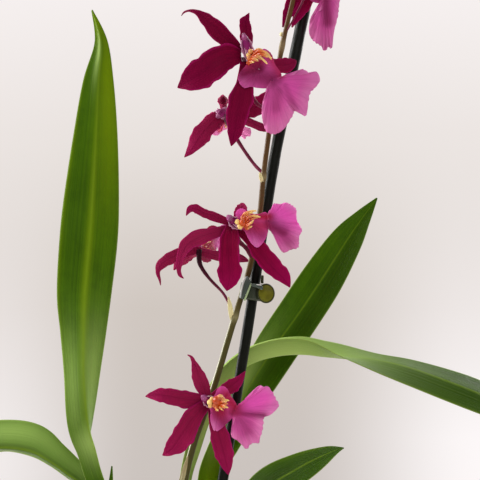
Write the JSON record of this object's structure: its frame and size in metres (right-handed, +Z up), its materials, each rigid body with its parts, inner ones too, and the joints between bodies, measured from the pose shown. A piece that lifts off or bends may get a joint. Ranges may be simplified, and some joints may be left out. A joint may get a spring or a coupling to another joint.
{
  "type": "potted cambria orchid",
  "caption": "Potted cambria orchid with strap leaves, a staked spike of crimson blooms with pink lips, and buds at its tip.",
  "frame": {"origin": "middle of the pot's underside", "axes": "+Z up; the side of the plant that the picture shows faces -Y; +X to the right as seen from that side"},
  "size_m": [0.3475, 0.1208, 0.5449],
  "materials": {
    "pot": "matte dark grey-green moulded plastic",
    "bark": "rough dry orchid bark",
    "bulb": "waxy green with papery sheaths",
    "leaf": "satin yellow-green leaf with fine veins",
    "stem": "satin olive-brown flower stem",
    "cane": "black painted cane",
    "clip": "glossy clear plastic",
    "button": "glossy olive plastic",
    "tepal": "velvety deep crimson petal",
    "lip": "velvety pink petal with darker veins",
    "callus": "waxy orange and cream",
    "column": "waxy pale mauve",
    "bud": "waxy wine-red bud"
  },
  "bodies": {
    "root": {"pot": "pot", "bark_medium": "bark", "pseudobulb_left": "bulb", "pseudobulb_right": "bulb", "pseudobulb_back": "bulb", "leaf_left_tall": "leaf", "leaf_left_arching": "leaf", "leaf_left_shoot": "leaf", "leaf_right_upright": "leaf", "leaf_right_arching": "leaf", "leaf_right_lower": "leaf", "stake": "cane", "spike_stem": "stem", "clip_collar": "clip", "clip_button": "button", "bloom_bottom_column": "column", "bloom_bottom_tepals": "tepal", "bloom_bottom_lip": "lip", "bloom_bottom_callus": "callus", "bloom_middle_column": "column", "bloom_middle_tepals": "tepal", "bloom_middle_lip": "lip", "bloom_middle_callus": "callus", "bloom_middle_back_column": "column", "bloom_middle_back_tepals": "tepal", "bloom_middle_back_lip": "lip", "bloom_middle_back_callus": "callus", "bloom_upper_column": "column", "bloom_upper_tepals": "tepal", "bloom_upper_lip": "lip", "bloom_upper_callus": "callus", "bloom_upper_back_column": "column", "bloom_upper_back_tepals": "tepal", "bloom_upper_back_lip": "lip", "bloom_upper_back_callus": "callus", "bloom_top_column": "column", "bloom_top_tepals": "tepal", "bloom_top_lip": "lip", "bloom_top_callus": "callus", "bloom_crown_column": "column", "bloom_crown_tepals": "tepal", "bloom_crown_lip": "lip", "bloom_crown_callus": "callus", "bud_lower": "bud", "bud_middle": "bud", "bud_tip": "bud"}
  },
  "joints": []
}
